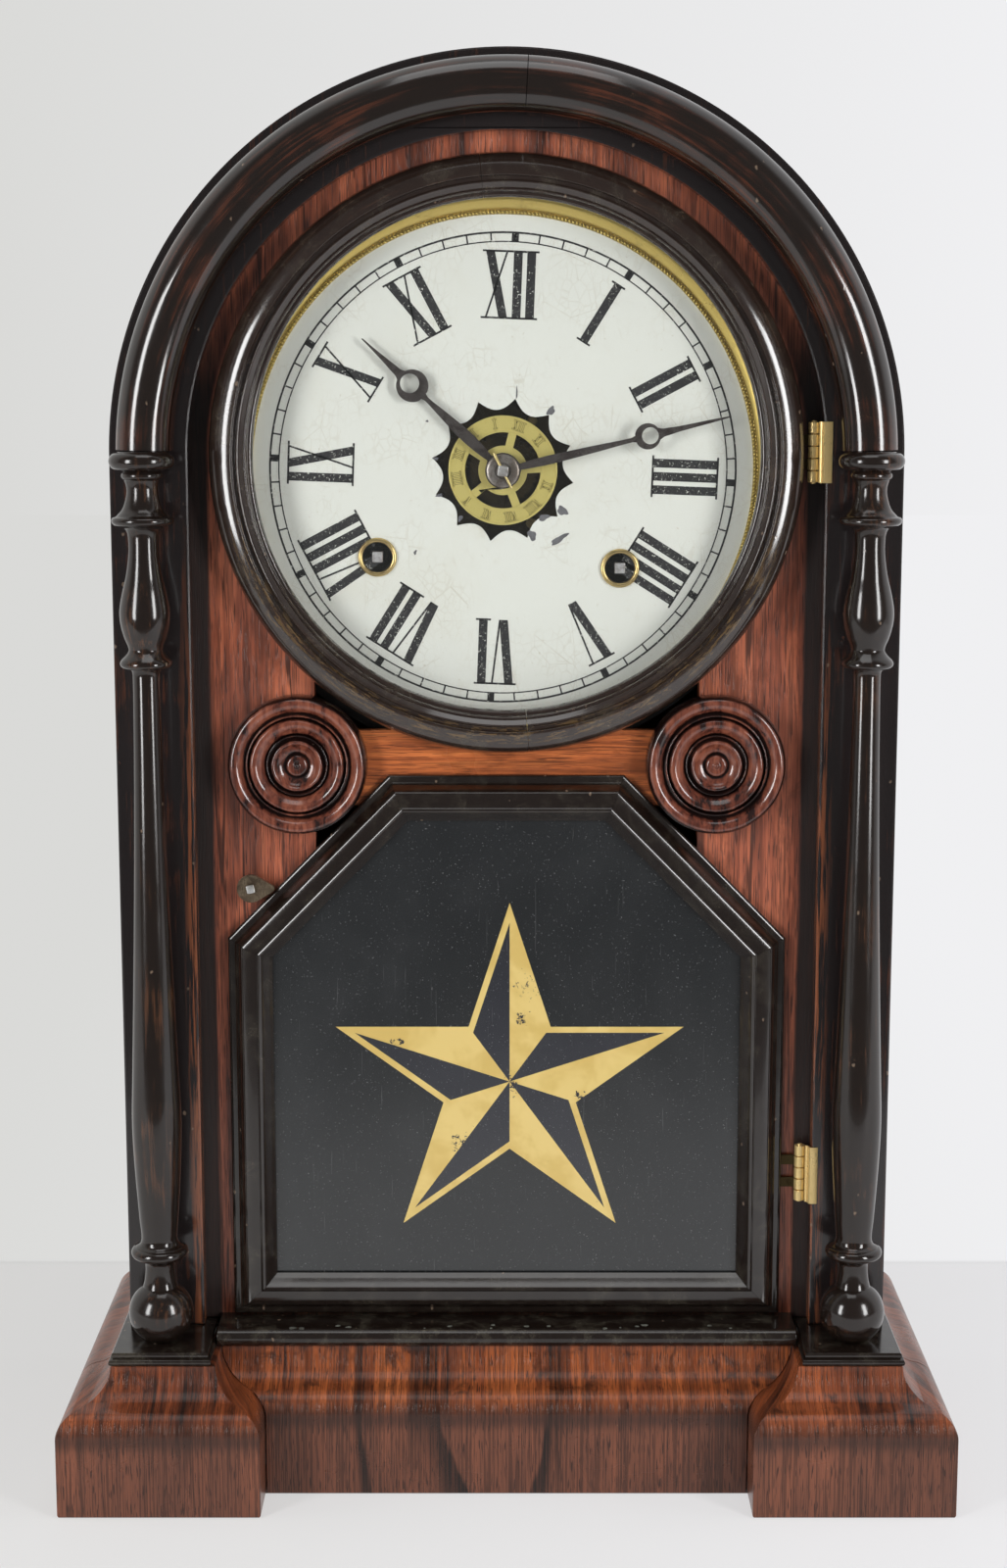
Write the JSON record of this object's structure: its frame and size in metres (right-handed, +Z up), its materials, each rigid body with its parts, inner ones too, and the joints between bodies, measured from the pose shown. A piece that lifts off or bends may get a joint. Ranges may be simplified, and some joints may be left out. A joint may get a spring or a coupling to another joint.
{
  "type": "shelf clock",
  "caption": "Arch-top wooden shelf clock with turned columns, hinged figure-eight glazed door, painted dial with alarm disc, star tablet and a pendulum striking movement",
  "frame": {"origin": "on the floor under the middle of the base", "axes": "+X right as seen from the front, -Y the front with the dial, +Z up"},
  "size_m": [0.2856, 0.1334, 0.457],
  "materials": {
    "veneer": "shellac gloss",
    "ebonised": "ebonised gloss",
    "pine": "bare",
    "brass": "aged",
    "steel": "aged",
    "dial_paint": "aged satin",
    "clear_glass": "clear",
    "black_glass": "back-painted"
  },
  "bodies": {
    "case": {"base_foot_left": "veneer", "base_foot_right": "veneer", "base_side_left": "veneer", "base_side_right": "veneer", "base_front_rail": "veneer", "case_side_left": "veneer", "case_side_right": "veneer", "case_arch": "veneer", "front_panel": "veneer", "foot_cap_left": "ebonised", "foot_cap_right": "ebonised", "base_dust_strip": "ebonised", "front_frame": "ebonised", "arch_moulding": "ebonised", "column_left": "ebonised", "column_right": "ebonised", "case_floor": "pine", "backboard": "pine", "mounting_strip_left": "pine", "mounting_strip_right": "pine", "upper_hinge_case_leaf": "brass", "lower_hinge_case_leaf": "brass", "dial_sash": "brass", "grommet_left": "brass", "grommet_right": "brass", "movement_front_plate": "brass", "movement_back_plate": "brass", "alarm_bell": "brass", "latch_screw": "steel", "coil_gong": "steel", "gong_block": "steel", "alarm_bell_post": "steel", "dial_pan": "dial_paint"},
    "door": {"door_ring": "ebonised", "door_lower_frame": "ebonised", "door_rail": "veneer", "roundel_left": "ebonised", "roundel_right": "ebonised", "dial_glass": "clear_glass", "tablet_glass": "black_glass", "upper_hinge_door_leaf": "brass", "lower_hinge_door_leaf": "brass"},
    "latch": {"latch_button": "brass"},
    "minute_hand": {"minute_hand": "steel", "cannon_pinion": "steel"},
    "minute_wheel": {"minute_wheel": "steel"},
    "hour_hand": {"hour_hand": "steel", "hour_wheel": "brass"},
    "alarm_disc": {"alarm_disc": "brass"},
    "escape_wheel": {"escape_wheel": "steel"},
    "third_wheel": {"third_wheel": "steel"},
    "centre_wheel": {"centre_wheel": "steel"},
    "second_wheel": {"second_wheel": "steel"},
    "time_great_wheel": {"time_great_wheel": "steel"},
    "strike_great_wheel": {"strike_great_wheel": "steel"},
    "pendulum": {"pendulum_rod": "steel", "pendulum_bob": "brass"},
    "verge": {"verge": "steel"},
    "strike_hammer": {"strike_hammer": "steel"},
    "alarm_hammer": {"alarm_hammer": "steel"}
  },
  "joints": [
    {"name": "door_swing", "type": "hinge", "parent": "case", "child": "door", "pos_m": [0.0962, -0.0227, 0.2], "axis": [0, 0, 1], "range_deg": [0, 70]},
    {"name": "latch_turn", "type": "hinge", "parent": "case", "child": "latch", "pos_m": [-0.0823, -0.0235, 0.1954], "axis": [0, 1, 0], "range_deg": [-90, 50]},
    {"name": "minute_hand_turn", "type": "hinge", "parent": "case", "child": "minute_hand", "pos_m": [-0.0012, -0.0126, 0.3285], "axis": [0, 1, 0], "continuous": true},
    {"name": "minute_wheel_turn", "type": "hinge", "parent": "case", "child": "minute_wheel", "pos_m": [-0.01519, 0, 0.32914], "axis": [0, 1, 0], "continuous": true},
    {"name": "hour_hand_turn", "type": "hinge", "parent": "case", "child": "hour_hand", "pos_m": [-0.0012, -0.0126, 0.3285], "axis": [0, 1, 0], "continuous": true},
    {"name": "alarm_disc_turn", "type": "hinge", "parent": "hour_hand", "child": "alarm_disc", "pos_m": [-0.0012, -0.0126, 0.3285], "axis": [0, 1, 0], "continuous": true},
    {"name": "escape_wheel_turn", "type": "hinge", "parent": "case", "child": "escape_wheel", "pos_m": [0.00016, 0.02, 0.35847], "axis": [0, 1, 0], "continuous": true},
    {"name": "third_wheel_turn", "type": "hinge", "parent": "case", "child": "third_wheel", "pos_m": [0.00831, 0.02, 0.34378], "axis": [0, 1, 0], "continuous": true},
    {"name": "centre_wheel_turn", "type": "hinge", "parent": "case", "child": "centre_wheel", "pos_m": [-0.0012, 0.02, 0.3285], "axis": [0, 1, 0], "continuous": true},
    {"name": "second_wheel_turn", "type": "hinge", "parent": "case", "child": "second_wheel", "pos_m": [0.00799, 0.02, 0.31074], "axis": [0, 1, 0], "continuous": true},
    {"name": "time_great_wheel_turn", "type": "hinge", "parent": "case", "child": "time_great_wheel", "pos_m": [0.03623, 0.02, 0.29747], "axis": [0, 1, 0], "continuous": true},
    {"name": "strike_winding", "type": "hinge", "parent": "case", "child": "strike_great_wheel", "pos_m": [-0.04129, 0.02, 0.30099], "axis": [0, 1, 0], "continuous": true},
    {"name": "pendulum_swing", "type": "hinge", "parent": "case", "child": "pendulum", "pos_m": [0.00093, 0.046, 0.37545], "axis": [0, 1, 0], "range_deg": [-4, 4]},
    {"name": "verge_rock", "type": "hinge", "parent": "case", "child": "verge", "pos_m": [0.00093, 0.02, 0.37545], "axis": [0, 1, 0], "range_deg": [-4, 4]},
    {"name": "strike_hammer_lift", "type": "hinge", "parent": "case", "child": "strike_hammer", "pos_m": [-0.01246, 0.046, 0.27896], "axis": [0, 1, 0], "range_deg": [0, 10]},
    {"name": "alarm_hammer_rock", "type": "hinge", "parent": "case", "child": "alarm_hammer", "pos_m": [0.038, 0.024, 0.0691], "axis": [0, 1, 0], "range_deg": [-8, 7]}
  ],
  "couplings": [
    {"joint": "minute_wheel_turn", "follows": "minute_hand_turn", "ratio": -0.33333},
    {"joint": "hour_hand_turn", "follows": "minute_hand_turn", "ratio": 0.083333},
    {"joint": "third_wheel_turn", "follows": "escape_wheel_turn", "ratio": -0.14286},
    {"joint": "centre_wheel_turn", "follows": "escape_wheel_turn", "ratio": 0.020408},
    {"joint": "second_wheel_turn", "follows": "escape_wheel_turn", "ratio": -0.005102},
    {"joint": "time_great_wheel_turn", "follows": "escape_wheel_turn", "ratio": 0.0010204},
    {"joint": "verge_rock", "follows": "pendulum_swing", "ratio": 1}
  ]
}
